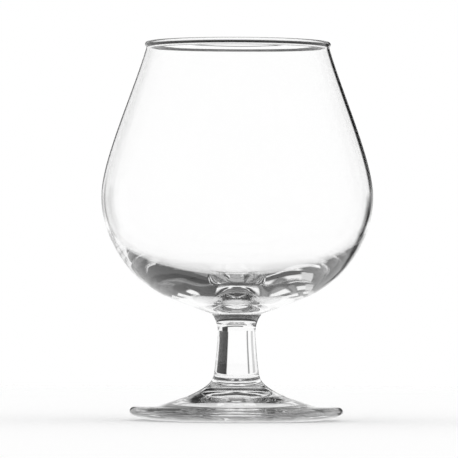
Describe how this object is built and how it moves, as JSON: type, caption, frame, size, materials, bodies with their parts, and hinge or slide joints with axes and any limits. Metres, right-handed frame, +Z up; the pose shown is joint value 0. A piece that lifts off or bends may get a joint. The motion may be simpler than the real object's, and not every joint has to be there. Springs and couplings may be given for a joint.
{
  "type": "brandy snifter",
  "caption": "Clear stemmed brandy glass: a wide bowl closing in to a beaded mouth, on a short solid waisted stem and a thick round foot with a hollow underside.",
  "frame": {"origin": "centre of the ring that the foot rests on, on the table's surface", "axes": "+Z up along the axis of the stem, which is the axis of revolution; +X and +Y are alike"},
  "size_m": [0.081, 0.081, 0.1128],
  "materials": {
    "blown_glass": "fire-polished, clear and colourless",
    "pressed_glass": "pressed and polished, clear and colourless"
  },
  "bodies": {
    "root": {"bowl": "blown_glass", "stem": "pressed_glass", "foot": "pressed_glass"}
  },
  "joints": []
}
